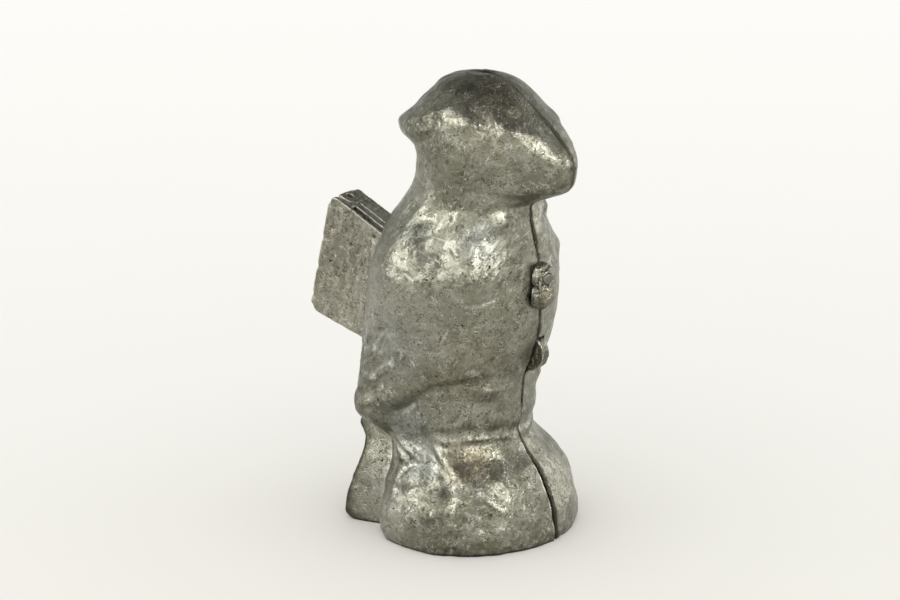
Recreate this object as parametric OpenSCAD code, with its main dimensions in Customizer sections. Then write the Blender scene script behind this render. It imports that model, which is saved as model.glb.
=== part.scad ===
// Cast figural bank: two hollow half castings hinged at the back, with a coin gate inside.
// X = 0 is the parting plane, the figure faces -Y, and the bank stands on Z = 0.
// The origin is the centre of the foot, on the surface that the bank stands on.

/* [Figure] */
// Height of the figure
height = 130; // [126:1:134]
// Thickness of the cast walls
wall = 3; // [2.6:0.1:3.2]
// Gap between each half and the parting plane
seam_gap = 0.15; // [0.1:0.05:0.2]
// How far the lower front of the near half stands back from the parting plane
front_gap = 1.5; // [0:0.1:1.7]

/* [Hinge] */
// Thickness of the hinge block across both leaves
hinge_t = 11.4; // [11:0.1:11.8]
// Diameter of the hinge pin
hinge_pin_d = 2; // [1.6:0.1:2.2]
// Depth at which the pin ends are sunk in the block
pin_recess = 1.6; // [1:0.1:2.4]

/* [Catch] */
// Depth of metal behind the stud in the button
catch_t = 2.6; // [2.2:0.1:3]
// Radius of the button's lower lobe
catch_r = 4.5; // [4.2:0.1:4.7]

/* [Coin works] */
// Width of the coin slot
slot_w = 2.6; // [2.4:0.1:2.8]
// Length of the coin slot
slot_l = 23; // [22:0.5:23.5]
// Thickness of the sheet that the chute is folded from
sheet_t = 1; // [0.8:0.1:1.1]
// Diameter of the pivot pins
pivot_d = 2; // [1.8:0.1:2.2]

/* [Foot plate] */
// Thickness of the foot plate
plate_t = 2; // [1.6:0.1:2.4]
// Height of the plate's underside above the table
plate_z = 1.2; // [1:0.1:1.6]

/* [Hidden] */
FAR = 1;      // side of the half on +X
NEAR = -1;    // side of the half on -X
fit = 0.05;   // radial clearance of a running fit
clear = 0.3;  // clearance between bodies that move past each other
$fn = 48;

pewter = [0.55, 0.54, 0.49];
dark_pewter = [0.42, 0.41, 0.37];
iron = [0.38, 0.30, 0.24];
brass = [0.72, 0.60, 0.36];
steel = [0.62, 0.63, 0.65];

// ---------------------------------------------------------------- figure surface
// Levels of the figure: height, reach to the front, reach to the back, half width, and how far
// the snout stands out of the face.
levels = [
    [0, 27.7, 25.5, 30.6, 0],      // foot
    [7, 26.7, 25.3, 30.5, 0],
    [13, 24.9, 23.8, 29, 0],
    [19, 21.9, 21.8, 26.2, 0],
    [25, 17, 21, 22.6, 0],         // top of the bell
    [29, 14.4, 22.4, 20.8, 0],     // crease over the bell
    [34, 15, 25, 22, 0],           // waist band
    [40, 15.4, 27.4, 23.2, 0],
    [46, 16.2, 28.6, 24.4, 0],     // coat hem
    [52, 18, 29.2, 25.4, 0],
    [60, 20.6, 29.4, 26.2, 0],
    [68, 21.3, 29, 27.6, 0],       // widest part of the coat
    [76, 20.8, 28, 28, 0],
    [82, 19.8, 26.6, 26, 0],
    [88, 18.6, 24.2, 22.8, 0],     // shoulders
    [92.5, 17.8, 21.4, 19.8, 0],
    [95.5, 17.8, 19.4, 18.4, 0.4], // neck
    [98, 18.4, 18, 18.1, 5],
    [101, 19.6, 16.8, 18.2, 10.2],
    [106, 20.8, 16, 18.6, 10.7],   // face
    [111, 21.7, 16, 18.8, 8.5],
    [117, 21.7, 16.2, 18.2, 3.1],
    [122, 18.1, 15, 16.4, 1.1],    // cap
    [126, 14, 11.4, 12.8, 0.3],
    [128.6, 10, 8.4, 8.8, 0],
    [130, 5.4, 2.4, 4, 0]
];

// Swellings and dents: angle from the front, height, spread in angle, spread in height,
// slope in height per degree, and how far it stands out (in, where negative).
swells = [
    [26, 112, 16, 5, 0, 1],            // cheek
    [180, 114.5, 54, 4.6, -0.045, 6.2], // back brim of the cap
    [100, 76, 38, 9, 0, 1.6],          // upper arm
    [126, 50, 32, 14, 0.1, 4.2],       // forearm
    [134, 33.5, 25, 8.5, 0, 8]       // cuff
];

snout_spread = 26;
// Lower edge of the coat: angle from the front and height. It drops towards the cuff.
hem = [[0, 48], [50, 48], [70, 46.6], [82, 43.5], [92, 39.8], [112, 36], [125, 29.5], [140, 27], [180, 26.5]];
hem_rise = 1.4;
hem_edge = 3;
// Coat tails: they start at this angle, stand this far out at the foot, and end at this height.
tail_turn = [143, 152];
tail_out = 10.8;
tail_z = [25, 35];

function smooth(x, a, b) = let (u = min(max((x - a) / (b - a), 0), 1)) u * u * (3 - 2 * u);
function level_at(z, i = 0) = (i >= len(levels) - 2 || z < levels[i + 1][0]) ? i : level_at(z, i + 1);
// Slope of a level column, so that the profile runs smoothly through its levels.
function slope(i, k) =
    let (a = max(i - 1, 0), b = min(i + 1, len(levels) - 1))
    (levels[b][k] - levels[a][k]) / (levels[b][0] - levels[a][0]);
function hermite(u, p, q, dp, dq) =
    p + u * dp + u * u * (3 * (q - p) - 2 * dp - dq) + u * u * u * (2 * (p - q) + dp + dq);
function reach(z, k) =
    let (i = level_at(z), a = levels[i], b = levels[i + 1], h = b[0] - a[0])
    hermite((z - a[0]) / h, a[k], b[k], slope(i, k) * h, slope(i + 1, k) * h);
function gauss(x) = exp(-x * x);
function hem_at(t, z) = let (d = z - lookup(t, hem))
    hem_rise * d / sqrt(d * d + hem_edge * hem_edge) * exp(-abs(d) / 6);
function tail_at(t, z) = (tail_out - z / 15) * smooth(t, tail_turn[0], tail_turn[1])
    * (1 - smooth(z, tail_z[0], tail_z[1]));
function relief_at(t, z) =
    let (s = [for (r = swells)
        r[5] * gauss((t - r[0]) / r[2]) * gauss((z - r[1] - r[4] * (t - r[0])) / r[3])])
    s * [for (r = swells) 1] + reach(z, 4) * gauss(t / snout_spread) + hem_at(t, z) + tail_at(t, z);

// A point of the skin, t degrees round from the front, set in by inset from the smooth form.
function skin(side, t, z, inset, proud) =
    let (f = reach(z, 1) - inset, b = reach(z, 2) - inset, w = reach(z, 3) - inset,
         mid = (b - f) / 2, deep = (b + f) / 2,
         out = proud ? relief_at(t, z) : 0,
         n = [sin(t) / w, -cos(t) / deep], unit = n / norm(n))
    [side * (w * sin(t) + out * unit[0]), mid - deep * cos(t) + out * unit[1]];

rows = concat([for (z = [0:3:123]) z], [125.5, 127.4, 128.8, 129.6]) * (height / 130);
turns = [for (i = [0:22]) i * 180 / 22];
inner_top = height - wall;

// How far a half keeps from the parting plane: the near half is worn back at the lower front.
function seam_x(side, t, z) =
    side * (seam_gap + (side == NEAR && t < 90 ? front_gap * smooth(-z, -30, -18) : 0));
function off_seam(side, t, z, p) =
    let (x = seam_x(side, t, z)) [side * max(side * p[0], side * x), p[1]];

// One hollow half: outer skin, inner skin, and the faces that join them at seam and foot.
module half_shell(side) {
    m = len(turns);
    n = len(rows);
    outer = [for (z = rows) for (t = turns) let (p = off_seam(side, t, z, skin(side, t, z, 0, true)))
        [p[0], p[1], z]];
    inner = [for (z = rows) for (t = turns)
        let (zi = z * inner_top / rows[n - 1], p = off_seam(side, t, z, skin(side, t, zi, wall, false)))
        [p[0], p[1], zi]];
    crown = [side * seam_gap, -2, height];
    ceiling = [side * seam_gap, -2, inner_top];
    first_in = n * m;
    crown_i = 2 * n * m;
    ceiling_i = crown_i + 1;
    quads = [for (i = [0:n - 2]) for (j = [0:m - 2]) let (a = i * m + j, b = a + m) [a, a + 1, b + 1, b]];
    skins = concat(
        [for (q = quads) [q[0], q[1], q[2]]],
        [for (q = quads) [q[0], q[2], q[3]]],
        [for (q = quads) [first_in + q[2], first_in + q[1], first_in + q[0]]],
        [for (q = quads) [first_in + q[3], first_in + q[2], first_in + q[0]]]);
    top = (n - 1) * m;
    caps = concat(
        [for (j = [0:m - 2]) [top + j, top + j + 1, crown_i]],
        [for (j = [0:m - 2]) [first_in + top + j + 1, first_in + top + j, ceiling_i]]);
    foot = concat(
        [for (j = [0:m - 2]) [j + 1, j, first_in + j]],
        [for (j = [0:m - 2]) [j + 1, first_in + j, first_in + j + 1]]);
    e = m - 1;
    seams = concat(
        [for (i = [0:n - 2]) [i * m, (i + 1) * m, first_in + i * m]],
        [for (i = [0:n - 2]) [(i + 1) * m, first_in + (i + 1) * m, first_in + i * m]],
        [for (i = [0:n - 2]) [(i + 1) * m + e, i * m + e, first_in + i * m + e]],
        [for (i = [0:n - 2]) [(i + 1) * m + e, first_in + i * m + e, first_in + (i + 1) * m + e]],
        [[top, crown_i, first_in + top], [crown_i, ceiling_i, first_in + top]],
        [[crown_i, top + e, first_in + top + e], [crown_i, first_in + top + e, ceiling_i]]);
    faces = concat(skins, caps, foot, seams);
    polyhedron(concat(outer, inner, [crown, ceiling]),
        side == FAR ? [for (f = faces) [f[2], f[1], f[0]]] : faces);
}

// ---------------------------------------------------------------- hinge block
// Corners of the block seen from the side, as distance back and height.
block_top = [45.9, 89.9];
block_bottom = [53.6, 54.9];
block_foot = [24, 45.8];      // inside the figure
block_head = [21, 77.3];      // inside the figure
block_half = hinge_t / 2;
knuckle_r = 3.2;              // the hinge axis lies this far in from the outer edge
edge = block_top - block_bottom;
edge_l = norm(edge);
lean = atan2(-edge[0], edge[1]);
// Cuts between the knuckles, measured up the hinge axis. The end knuckles run past the block,
// and its outline trims them.
knuckle_cuts = [-6, 4.5, 13.5, 22.8, edge_l + 6];
near_knuckles = [0, 2];
far_knuckles = [1, 3];
knuckle_gap = 0.3;
leaf_cover = 1.3;             // each leaf's skin that runs on over the other's knuckles
corner_r = 3;

// A rounded corner at c, between the edges that come from a and go to b.
function corner(a, c, b, r = corner_r) =
    let (p = c + (a - c) * r / norm(a - c), q = c + (b - c) * r / norm(b - c))
    [for (u = [0:0.2:1]) p * (1 - u) * (1 - u) + c * 2 * u * (1 - u) + q * u * u];
block_outline = concat([block_foot], corner(block_foot, block_bottom, block_top),
                       corner(block_bottom, block_top, block_head), [block_head]);

// A plate in the X direction, from x0 to x1, with its outline in Y and Z.
module side_plate(x0, x1, outline) {
    translate([x0, 0, 0]) rotate([90, 0, 90]) linear_extrude(x1 - x0) polygon(outline);
}
// A round bar along X.
module cross_bar(x0, x1, y, z, r) {
    translate([x0, y, z]) rotate([0, 90, 0]) cylinder(r = r, h = x1 - x0);
}
// Places its children on the hinge axis, with Z along it.
module on_hinge_axis() {
    translate([0, block_bottom[0], block_bottom[1]])
        rotate([lean, 0, 0]) translate([0, -knuckle_r, 0]) children();
}
module knuckles(which, r, spare = 0) {
    for (k = which) {
        bottom = knuckle_cuts[k] + knuckle_gap / 2 - spare;
        top = knuckle_cuts[k + 1] - knuckle_gap / 2 + spare;
        on_hinge_axis() translate([0, 0, bottom]) cylinder(r = r, h = top - bottom);
    }
}
// Room that one leaf leaves for the other's knuckles and for the edges that turn with them.
module turning_room(others) {
    room = block_half - leaf_cover;
    knuckles(others, knuckle_r + clear, knuckle_gap);
    intersection() {
        knuckles(others, 2 * block_half, knuckle_gap);
        on_hinge_axis() translate([-room, 0, -20]) cube([2 * room, 2 * knuckle_r, 80]);
    }
}
module hinge_leaf(side, own, others) {
    x0 = side == FAR ? seam_gap : -block_half;
    difference() {
        intersection() {
            side_plate(-block_half, block_half, block_outline);
            union() {
                difference() {
                    side_plate(x0, x0 + block_half - seam_gap, block_outline);
                    turning_room(others);
                }
                knuckles(own, knuckle_r);
            }
        }
        on_hinge_axis() translate([0, 0, -5]) cylinder(d = hinge_pin_d + 2 * fit, h = edge_l + 10);
    }
}
// Groove along the top of the near leaf, just inside its face.
groove_x = -4.7;
groove_w = 2.2;
groove_depth = 1.4;
module top_groove() {
    fall = atan2(block_top[1] - block_head[1], block_top[0] - block_head[0]);
    translate([groove_x, block_head[0], block_head[1] - groove_depth])
        rotate([fall - 2, 0, 0]) cube([groove_w, 21, 6]);
}
module far_hinge_leaf() {
    color(pewter) hinge_leaf(FAR, far_knuckles, near_knuckles);
}
module near_hinge_leaf() {
    color(pewter) difference() {
        hinge_leaf(NEAR, near_knuckles, far_knuckles);
        top_groove();
    }
}
module hinge_pin() {
    color(iron) on_hinge_axis() translate([0, 0, pin_recess])
        cylinder(d = hinge_pin_d, h = edge_l - 2 * pin_recess);
}

// ---------------------------------------------------------------- catch on the near half
catch_x = -2;
catch_z = 75.8;
catch_back = -21.45;      // rear face of the hub, just clear of the skin
catch_pin_back = -16.4;   // rear end of the catch's pin, inside the near half
past = 1;                 // how far a cut runs on past the face that it opens
hub_r = 4.1;
hub_flat = 2.4;           // depth of the seat for the pin's head
head_r = 1.5;
head_play = 0.2;
catch_pin_d = 2;
lobe_drop = 4.9;
lobe_x = -1.2;
stud_x = lobe_x - 2.2;
stud_z = catch_z - lobe_drop + 1;
stud_r = 1.1;
stud_out = 4;             // how far the stud's end is from the back of the lobe
hub_shift = 1.2;          // the hub bulges this far beyond its pin, towards the far half
web_w = 5.6;              // neck between the hub and the lobe
web_t = 2.4;
module along_y(x, z, y0, y1, r) {
    translate([x, y1, z]) rotate([90, 0, 0]) cylinder(r = r, h = y1 - y0);
}
// A dome of radius r that stands out to the front of y.
module dome(x, y, z, r) {
    intersection() {
        translate([x, y, z]) sphere(r = r);
        along_y(x, z, y - 2 * r, y, 2 * r);
    }
}
lobe_back = catch_back - clear;
stud_seat = lobe_back - catch_t;
module turn_catch() {
    color(dark_pewter) difference() {
        union() {
            dome(catch_x + hub_shift, catch_back, catch_z, hub_r);
            dome(lobe_x, lobe_back, catch_z - lobe_drop, catch_r);
            translate([catch_x - web_w / 2, lobe_back - web_t, catch_z - lobe_drop])
                cube([web_w, web_t, lobe_drop]);
        }
        along_y(catch_x, catch_z, catch_back - 2 * hub_r, catch_back - hub_flat, head_r + head_play);
        along_y(catch_x, catch_z, catch_back - 2 * hub_r, catch_back + past, catch_pin_d / 2 + fit);
        along_y(stud_x, stud_z, lobe_back - 2 * catch_r, stud_seat, stud_r);
    }
}
// The pin's head is filed flush with the hub's dome.
module catch_pin() {
    color(iron) union() {
        intersection() {
            along_y(catch_x, catch_z, catch_back - 2 * hub_r, catch_back - hub_flat - fit, head_r);
            dome(catch_x + hub_shift, catch_back, catch_z, hub_r);
        }
        along_y(catch_x, catch_z, catch_back - hub_flat - 2 * fit, catch_pin_back, catch_pin_d / 2);
    }
}
module catch_stud() {
    color(iron) along_y(stud_x, stud_z, lobe_back - stud_out, stud_seat, stud_r);
}

// ---------------------------------------------------------------- coin works
cheek_x = 9;              // inner face of the frame's cheeks
cheek_t = 2;
cheek_out = cheek_x + cheek_t;
cheek_front = -14.5;
bridge_t = 1.5;           // sheet that joins the two cheeks at the front
bridge_z = [74, 81];
trigger_y = -12;          // trigger pivot
trigger_z = 70;
gate_y = 11;              // gate pivot
gate_z = 60;
drive_y = 18;             // pin at the end of the trigger's arm
drive_z = 60;
arm_x = 4.4;              // arm of the trigger, beside the chute
arm_t = 2;
tail_x = 6.8;             // tail of the gate, beside the arm
tail_t = 1.4;
lug_y = -16.7;            // finger lug of the trigger
lug_z = 52.6;
lug_r = 5.2;
lug_t = 3.2;
lug_play = 0.6;           // clearance round the lug in its slot
trigger_travel = 8;       // degrees
screw_y = 4;              // screws that hold the frame
screw_z = [46, 86];
screw_r = 1.2;
screw_end = 17;
screw_head_r = 2.3;
screw_head_t = 1.5;
driver_slot = 0.6;
boss_r = 3.4;
boss_end = 22.4;          // the bosses run into the far wall
rivet_y = [1, 11];        // rivets between the chute and the cheeks
rivet_z = 78;
rivet_r = 1.1;
rivet_spacer_r = 1.6;
rivet_head_r = 1.9;
rivet_head_t = 0.8;
spring_y = 4;
post_z = 51;
post_r = 0.9;
drive_r = 0.9;
chute_bottom = 62.6;
chute_half = slot_w / 2;
chute_outline = [[-8, chute_bottom], [17, chute_bottom], [17, 84], [12.4, 93], [12.4, 111.6],
                 [-12, 111.6], [-12, 88], [-8, 76]];
chute_room = [[-7, chute_bottom - 1], [16, chute_bottom - 1], [16, 84], [12, 89.5], [22, 89.5],
              [22, 110.6], [-11, 110.6], [-11, 88.2], [-7, 76.2]];

module bar_between(x0, x1, a, b, w) {
    run = b - a;
    translate([x0, a[0], a[1]]) rotate([atan2(run[1], run[0]), 0, 0])
        translate([0, 0, -w / 2]) cube([x1 - x0, norm(run), w]);
}
module cheek(x0) {
    translate([x0, cheek_front, 66]) cube([cheek_t, 28.5, 15]);
    translate([x0, -12, 56]) cube([cheek_t, 26, 10.5]);
}
module mechanism_frame() {
    color(brass) difference() {
        union() {
            cheek(cheek_x);
            cheek(-cheek_out);
            translate([-cheek_out, cheek_front, bridge_z[0]])
                cube([2 * cheek_out, bridge_t, bridge_z[1] - bridge_z[0]]);
            translate([cheek_x, screw_y - boss_r, screw_z[0]])
                cube([cheek_t, 2 * boss_r, screw_z[1] - screw_z[0]]);
            for (z = screw_z) cross_bar(cheek_x, cheek_out, screw_y, z, boss_r);
        }
        for (z = screw_z) cross_bar(0, cheek_out + past, screw_y, z, screw_r + fit);
        cross_bar(-cheek_out - past, cheek_out + past, trigger_y, trigger_z, pivot_d / 2);
        cross_bar(-cheek_out - past, cheek_out + past, gate_y, gate_z, pivot_d / 2);
        cross_bar(0, cheek_out + past, spring_y, post_z, post_r);
        for (y = rivet_y) cross_bar(-cheek_out - past, cheek_out + past, y, rivet_z, rivet_r);
    }
}
module frame_screws() {
    color(steel) for (z = screw_z) difference() {
        union() {
            cross_bar(cheek_x - screw_head_t, cheek_x, screw_y, z, screw_head_r);
            cross_bar(cheek_x - screw_head_t / 2, screw_end, screw_y, z, screw_r);
        }
        translate([cheek_x - screw_head_t - 0.5, screw_y - 3, z - driver_slot / 2])
            cube([1.2, 6, driver_slot]);
    }
}
module coin_chute() {
    color(brass) difference() {
        side_plate(-chute_half - sheet_t, chute_half + sheet_t, chute_outline);
        side_plate(-chute_half, chute_half, chute_room);
    }
}
module chute_rivets() {
    chute_side = chute_half + sheet_t;
    color(brass) for (y = rivet_y, s = [0, 1]) mirror([s, 0, 0]) union() {
        cross_bar(chute_side, cheek_x, y, rivet_z, rivet_spacer_r);
        cross_bar(cheek_x - past, cheek_out, y, rivet_z, rivet_r);
        cross_bar(cheek_out, cheek_out + rivet_head_t, y, rivet_z, rivet_head_r);
    }
}
module trigger_lever() {
    lug_x = seam_gap + 0.2;
    pivot = [trigger_y, trigger_z];
    knee = [15, 66.6];            // carries the arm over the gate's hub
    color(dark_pewter) difference() {
        union() {
            cross_bar(lug_x, lug_x + lug_t, lug_y, lug_z, lug_r);
            bar_between(lug_x, lug_x + lug_t, [lug_y + 1, lug_z], pivot, 4.4);
            cross_bar(lug_x, arm_x + arm_t, trigger_y, trigger_z, 2.6);
            bar_between(arm_x, arm_x + arm_t, pivot, knee, 3.6);
            cross_bar(arm_x, arm_x + arm_t, knee[0], knee[1], 2.1);
            bar_between(arm_x, arm_x + arm_t, knee, [drive_y, drive_z], 3.6);
            cross_bar(arm_x, arm_x + arm_t, drive_y, drive_z, 2.3);
        }
        cross_bar(0, arm_x + arm_t + past, trigger_y, trigger_z, pivot_d / 2 + fit);
        cross_bar(0, arm_x + arm_t + past, drive_y, drive_z, drive_r);
    }
}
module trigger_pin() {
    color(steel) cross_bar(-cheek_out, cheek_out, trigger_y, trigger_z, pivot_d / 2);
}
module drive_pin() {
    color(steel) cross_bar(arm_x, tail_x + tail_t + 0.4, drive_y, drive_z, drive_r);
}
module coin_gate() {
    flap_l = 19;              // flap that holds the coin, in front of the pivot
    flap_w = 6;
    flap_t = 1.5;
    tail_l = 11.9;
    tail_h = 4.8;
    play = [5.9, 10.4];       // ends of the slot that the trigger's pin runs in
    play_r = 1.3;
    tail_end = tail_x + tail_t;
    color(brass) difference() {
        union() {
            cross_bar(-6.4, tail_end, gate_y, gate_z, 2.2);
            translate([-flap_w / 2, gate_y - flap_l, gate_z]) cube([flap_w, flap_l, flap_t]);
            translate([tail_x, gate_y, gate_z - tail_h / 2]) cube([tail_t, tail_l, tail_h]);
        }
        cross_bar(-cheek_x, tail_end + past, gate_y, gate_z, pivot_d / 2 + fit);
        translate([tail_x - past, gate_y + play[0], gate_z - play_r])
            cube([tail_t + 2 * past, play[1] - play[0], 2 * play_r]);
        for (d = play) cross_bar(tail_x - past, tail_end + past, gate_y + d, gate_z, play_r);
    }
}
module gate_pin() {
    color(steel) cross_bar(-cheek_out, cheek_out, gate_y, gate_z, pivot_d / 2);
}
module spring_post() {
    color(steel) cross_bar(arm_x, cheek_out, spring_y, post_z, post_r);
}

// Return spring: a coil between the post and the trigger's arm.
coil_x = arm_x + arm_t / 2;
coil_r = 1.3;
wire_r = 0.28;
coil_turns = 9;
coil_bottom = post_z + post_r;
coil_top = 65.9;
coil_steps = 10;
coil_sides = 6;
module return_spring() {
    last = coil_turns * coil_steps;
    rings = [for (k = [0:last]) let (a = 360 * k / coil_steps, z = coil_bottom + wire_r
        + (coil_top - coil_bottom - 2 * wire_r) * k / last)
        [for (s = [0:coil_sides - 1]) let (b = 360 * s / coil_sides, r = coil_r + wire_r * cos(b))
            [coil_x + r * cos(a), spring_y + r * sin(a), z + wire_r * sin(b)]]];
    points = [for (ring = rings) each ring];
    sides = [for (k = [0:last - 1]) for (s = [0:coil_sides - 1]) let (n = (s + 1) % coil_sides,
        p = k * coil_sides, q = p + coil_sides) each [[p + s, q + s, q + n], [p + s, q + n, p + n]]];
    start = [for (s = [0:coil_sides - 1]) s];
    end = [for (s = [coil_sides - 1:-1:0]) last * coil_sides + s];
    color(steel) polyhedron(points, concat(sides, [start, end]));
}

// ---------------------------------------------------------------- foot
plate_edge = wall + clear + 0.15;
plate_top = plate_z + plate_t;
foot_turns = [35, 90, 145];
sink_r = 2.4;             // countersunk heads
sink_t = 1.25;
foot_screw_l = 8;
foot_boss_h = 10;
function foot_screw_at(t) = skin(FAR, t, 0, wall + boss_r, false);
module foot_plate() {
    around = concat([for (t = [0:6:180]) skin(FAR, t, plate_top, plate_edge, false)],
                    [for (t = [174:-6:6]) skin(NEAR, t, plate_top, plate_edge, false)]);
    color(dark_pewter) difference() {
        translate([0, 0, plate_z]) linear_extrude(plate_t) polygon(around);
        for (t = foot_turns) translate(concat(foot_screw_at(t), [plate_z])) {
            translate([0, 0, -past]) cylinder(r = screw_r + fit, h = plate_t + 2 * past);
            translate([0, 0, -0.01]) cylinder(r1 = sink_r + 0.1, r2 = screw_r + fit, h = sink_t + 0.05);
        }
    }
}
module foot_screws() {
    color(steel) for (t = foot_turns) translate(concat(foot_screw_at(t), [plate_z])) difference() {
        union() {
            cylinder(r1 = sink_r, r2 = screw_r, h = sink_t);
            cylinder(r = screw_r, h = foot_screw_l);
        }
        translate([-3, -driver_slot / 2, -past]) cube([6, driver_slot, past + 0.5]);
    }
}

// ---------------------------------------------------------------- locating dowels
dowel_r = 0.9;
dowel_boss_r = 2.3;
dowel_boss_l = 4;
dowel_tip = -2.4;         // the end in the near half
dowel_end = 3;            // the end in the far half
dowels = [[1, 125], [-12.2, 36]];      // distance back and height
module locating_dowels() {
    color(iron) for (d = dowels) cross_bar(dowel_tip, dowel_end, d[0], d[1], dowel_r);
}
module dowel_bosses(side) {
    x0 = side == FAR ? seam_gap : -dowel_boss_l;
    for (d = dowels) cross_bar(x0, x0 + dowel_boss_l - seam_gap, d[0], d[1], dowel_boss_r);
}

// ---------------------------------------------------------------- halves
module coin_slot() {
    translate([-slot_w / 2, 9, 111 - slot_l + 0.6]) cube([slot_w, 22, slot_l]);
}
module hinge_notch() {
    side_plate(-block_half - fit, block_half + fit, block_outline);
}
// Opening that the finger lug swings in, from rest to fully pressed.
module trigger_slot() {
    for (turn = [0, trigger_travel / 2, trigger_travel])
        translate([0, trigger_y, trigger_z]) rotate([turn, 0, 0]) translate([0, -trigger_y, -trigger_z])
            cross_bar(-past, lug_t + 0.8, lug_y, lug_z, lug_r + lug_play);
}
module far_half() {
    color(pewter) difference() {
        union() {
            half_shell(FAR);
            dowel_bosses(FAR);
            for (z = screw_z) cross_bar(cheek_out, boss_end, screw_y, z, boss_r);
            for (t = foot_turns) translate(concat(foot_screw_at(t), [plate_top]))
                cylinder(r = boss_r, h = foot_boss_h);
        }
        coin_slot();
        hinge_notch();
        trigger_slot();
        for (d = dowels) cross_bar(-past, dowel_end + fit, d[0], d[1], dowel_r);
        for (z = screw_z) cross_bar(cheek_out - past, screw_end + past, screw_y, z, screw_r + fit);
        for (t = foot_turns) translate(concat(foot_screw_at(t), [plate_z]))
            cylinder(r = screw_r + fit, h = foot_screw_l + past);
    }
}
module near_half() {
    color(pewter) difference() {
        union() {
            half_shell(NEAR);
            dowel_bosses(NEAR);
        }
        coin_slot();
        hinge_notch();
        for (d = dowels) cross_bar(dowel_tip - 0.5, past, d[0], d[1], dowel_r + 0.25);
        along_y(catch_x, catch_z, catch_back - past, catch_pin_back + past, catch_pin_d / 2);
    }
}

far_half();
near_half();
far_hinge_leaf();
near_hinge_leaf();
hinge_pin();
locating_dowels();
turn_catch();
catch_pin();
catch_stud();
mechanism_frame();
frame_screws();
coin_chute();
chute_rivets();
trigger_lever();
trigger_pin();
coin_gate();
gate_pin();
drive_pin();
return_spring();
spring_post();
foot_plate();
foot_screws();
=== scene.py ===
"""Looks of the cast figural bank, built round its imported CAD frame.

The two halves get fine skins with the relief of the worn casting, the hinge leaves, the catch and
the trigger get softened copies of their CAD shapes, and the works inside keep theirs.
Shapes are worked out in millimetres; mesh_object() turns them into metres.
"""

import math

import bpy
import numpy as np
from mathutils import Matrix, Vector

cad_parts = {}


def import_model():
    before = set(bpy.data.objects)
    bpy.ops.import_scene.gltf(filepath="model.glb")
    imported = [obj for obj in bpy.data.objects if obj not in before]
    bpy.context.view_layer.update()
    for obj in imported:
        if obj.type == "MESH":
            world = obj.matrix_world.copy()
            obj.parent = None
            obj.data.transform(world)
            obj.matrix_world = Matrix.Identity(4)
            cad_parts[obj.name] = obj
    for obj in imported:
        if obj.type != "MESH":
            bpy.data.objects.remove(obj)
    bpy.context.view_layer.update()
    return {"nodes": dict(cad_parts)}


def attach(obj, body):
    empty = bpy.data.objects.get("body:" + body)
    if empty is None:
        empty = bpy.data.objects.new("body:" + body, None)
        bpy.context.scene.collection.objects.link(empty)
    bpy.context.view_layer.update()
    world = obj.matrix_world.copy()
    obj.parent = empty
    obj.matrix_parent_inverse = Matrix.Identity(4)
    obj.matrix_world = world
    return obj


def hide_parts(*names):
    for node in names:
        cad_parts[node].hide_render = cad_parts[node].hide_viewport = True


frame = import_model()

MM = 0.001
FAR = 1                      # side of the half on +X
NEAR = -1                    # side of the half on -X
WALL = 3.0
TOP = 130.0
SEAM_GAP = 0.15              # between each half and the parting plane
FRONT_GAP = 1.5              # how far the lower front of the near half stands back from it
FRONT_GAP_Z = (-30, -18)     # minus the heights that this gap grows between
HINGE_HALF = 5.75            # half width of the notch that the hinge block sits in
HINGE_Z = (47.6, 80.8)
HINGE_BLOCK_HALF = 5.7
HINGE_EDGE = ((45.9, 89.9), (53.6, 54.9))    # outer edge of the block: distance back and height
HINGE_LEAN = 77.6            # direction of that edge, in degrees, for the streaks along it
SLOT_HALF = 1.3              # half width of the coin slot
SLOT_Z = (88.6, 111.6)
LUG_SLOT_X = 3.95            # how far the trigger's slot reaches into the far half
LUG_SLOT_Z = (46.9, 57.4)
MM_PER_DEGREE = 0.43         # along the skin, round the figure
DOWELS = ((1, 125), (-12.2, 36))    # distance back and height
DOWEL_R = 0.9
DOWEL_FIT = 0.02             # clearance in the far half, which holds the dowels
DOWEL_PLAY = 0.25            # clearance in the near half, which slides over them
DOWEL_BOSS_R = 2.3
DOWEL_BOSS_L = 4.0
BOSS_R = 3.4
SCREW_R = 1.2
SCREW_FIT = 0.05
FRAME_SCREWS = ((4, 46), (4, 86))    # distance back and height
FRAME_BOSS_X = (11, 22.4)
FOOT_SCREW_TURNS = (35, 90, 145)     # degrees from the front
FOOT_BOSS_L = 10
PLATE_TOP = 3.2
ROW_STEP = 0.4               # between the rows of a skin's points, below the crown
CROWN_Z = 123
CROWN_ROWS = 30
COLUMNS = 221                # of a skin's points, from the front seam to the back seam
NICK_DEPTH = 0.45            # of a nick, as a part of its size
DENT_SIZES = (0.9, 1.6, 3.2)    # of the unevenness of the small castings

# The camera: its direction in degrees, its distance in metres, and how large the figure shows.
VIEW_AZ, VIEW_EL, VIEW_DIST = -55.5, 17.0, 1.0
PX_PER_MM = 3.606
IMAGE_WIDTH = 900
SENSOR_WIDTH = 36            # of the camera, in its own millimetres
AIM_OFF, AIM_Z = -0.00735, 0.06501    # metres from the figure's axis, to the side and up

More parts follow.
